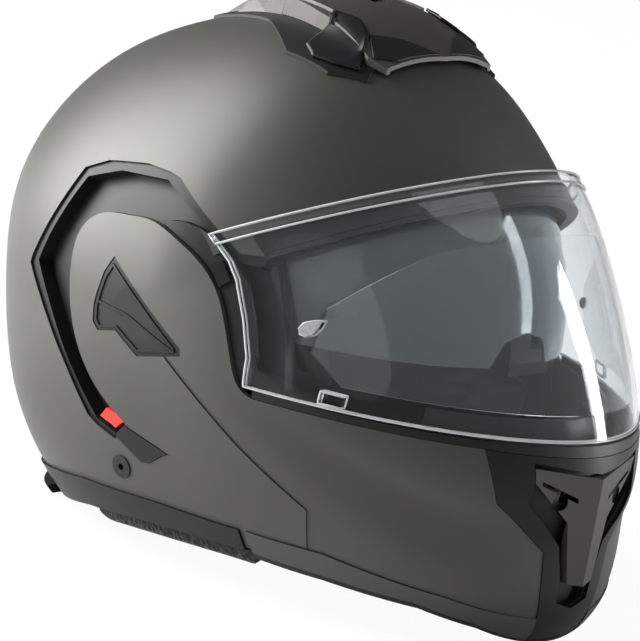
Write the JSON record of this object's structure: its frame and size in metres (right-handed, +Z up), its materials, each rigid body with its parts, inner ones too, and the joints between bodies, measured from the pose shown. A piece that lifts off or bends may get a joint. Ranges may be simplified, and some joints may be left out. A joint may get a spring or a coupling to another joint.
{
  "type": "modular motorcycle helmet",
  "caption": "Modular motorcycle helmet with a flip-up chin bar, clear visor, inner sun visor, vents, padded liner and a ratchet chin strap.",
  "frame": {"origin": "middle of the helmet's length and width, on the surface it rests on", "axes": "+Z up, -Y towards the visor and chin bar, +X towards the wearer's left"},
  "size_m": [0.254, 0.3432, 0.263],
  "materials": {
    "painted_shell": "satin",
    "dark_trim": "matte",
    "vent_trim": "satin",
    "rubber_trim": "matte",
    "red_plastic": "gloss",
    "clear_lens": "gloss",
    "tinted_lens": "gloss",
    "dark_tab": "gloss",
    "pale_pins": "gloss",
    "foam": "matte",
    "lining": "matte",
    "webbing": "matte",
    "steel": "satin"
  },
  "bodies": {
    "helmet_body": {"outer_shell": "painted_shell", "recess_panel_right": "dark_trim", "recess_panel_left": "dark_trim", "pivot_plate_right": "dark_trim", "pivot_plate_left": "dark_trim", "lock_cover_right": "dark_trim", "lock_cover_left": "dark_trim", "top_vent_base": "dark_trim", "sun_visor_hubs": "dark_trim", "rear_exhaust": "dark_trim", "top_vent_scoop": "vent_trim", "rim_trim": "rubber_trim", "eyeport_seal": "rubber_trim", "side_plugs": "rubber_trim", "brow_band": "rubber_trim", "eps_liner": "foam", "crown_pad": "lining", "cheek_pad_right": "lining", "cheek_pad_left": "lining", "neck_roll": "lining", "chin_strap_right": "webbing", "chin_strap_left": "webbing", "pivot_screws": "steel", "strap_anchors": "steel", "lock_striker_right": "steel", "lock_striker_left": "steel", "buckle_body": "steel", "buckle_tongue": "steel"},
    "chin_bar_body": {"chin_bar": "painted_shell", "chin_hub_right": "dark_trim", "chin_hub_left": "dark_trim", "pod_inset_right": "dark_trim", "pod_inset_left": "dark_trim", "chin_vent_surround": "dark_trim", "chin_vent_cover": "vent_trim", "chin_vent_grille": "dark_trim", "chin_edge_trim": "rubber_trim", "lower_visor_seal": "rubber_trim", "chin_eps": "foam", "chin_curtain": "lining", "breath_guard": "dark_trim", "latch_jaw_right": "steel", "latch_jaw_left": "steel", "release_housing": "dark_trim"},
    "visor_body": {"visor_lens": "clear_lens", "visor_arm_right": "dark_trim", "visor_arm_left": "dark_trim", "pinlock_insert": "clear_lens", "insert_pins": "pale_pins"},
    "visor_tab_right_body": {"visor_release_tab_right": "dark_tab"},
    "visor_tab_left_body": {"visor_release_tab_left": "dark_tab"},
    "sun_visor_body": {"sun_visor": "tinted_lens"},
    "sun_slider_body": {"sun_visor_slider": "dark_trim"},
    "lock_lever_right_body": {"lock_lever_right": "red_plastic"},
    "lock_lever_left_body": {"lock_lever_left": "red_plastic"},
    "top_vent_slider_body": {"top_vent_slider": "vent_trim"},
    "chin_vent_slider_body": {"chin_vent_slider": "dark_trim"},
    "release_button_body": {"release_button": "red_plastic"},
    "buckle_lever_body": {"buckle_lever": "steel"}
  },
  "joints": [
    {"name": "chin_bar_swing", "type": "hinge", "parent": "helmet_body", "child": "chin_bar_body", "pos_m": [0, 0.024, 0.118], "axis": [-1, 0, 0], "range_deg": [0, 80]},
    {"name": "visor_swing", "type": "hinge", "parent": "chin_bar_body", "child": "visor_body", "pos_m": [0, 0.024, 0.118], "axis": [-1, 0, 0], "range_deg": [0, 35]},
    {"name": "visor_tab_right_slide", "type": "slide", "parent": "visor_body", "child": "visor_tab_right_body", "axis": [0, -0.65, -0.76], "range_m": [0, 0.003]},
    {"name": "visor_tab_left_slide", "type": "slide", "parent": "visor_body", "child": "visor_tab_left_body", "axis": [0, -0.65, -0.76], "range_m": [0, 0.003]},
    {"name": "sun_visor_swing", "type": "hinge", "parent": "helmet_body", "child": "sun_visor_body", "pos_m": [0, 0.003, 0.12], "axis": [-1, 0, 0], "range_deg": [0, 45]},
    {"name": "sun_slider_slide", "type": "slide", "parent": "helmet_body", "child": "sun_slider_body", "axis": [0, -1, 0], "range_m": [0, 0.012]},
    {"name": "lock_lever_right_slide", "type": "slide", "parent": "helmet_body", "child": "lock_lever_right_body", "axis": [0, 0.7071, 0.7071], "range_m": [0, 0.003]},
    {"name": "lock_lever_left_slide", "type": "slide", "parent": "helmet_body", "child": "lock_lever_left_body", "axis": [0, 0.7071, 0.7071], "range_m": [0, 0.003]},
    {"name": "top_vent_slide", "type": "slide", "parent": "helmet_body", "child": "top_vent_slider_body", "axis": [0, -1, 0], "range_m": [0, 0.009]},
    {"name": "chin_vent_slide", "type": "slide", "parent": "chin_bar_body", "child": "chin_vent_slider_body", "axis": [0, 0, 1], "range_m": [0, 0.004]},
    {"name": "release_button_slide", "type": "slide", "parent": "chin_bar_body", "child": "release_button_body", "axis": [0, -1, 0], "range_m": [0, 0.005], "stiffness_N_per_m": 400},
    {"name": "buckle_lever_swing", "type": "hinge", "parent": "helmet_body", "child": "buckle_lever_body", "pos_m": [0.06, 0.0266, 0.01], "axis": [0, 1, 0], "range_deg": [0, 28], "stiffness_Nm_per_rad": 0.02}
  ],
  "couplings": [
    {"joint": "sun_slider_slide", "follows": "sun_visor_swing", "m_per_rad": 0.01527}
  ]
}
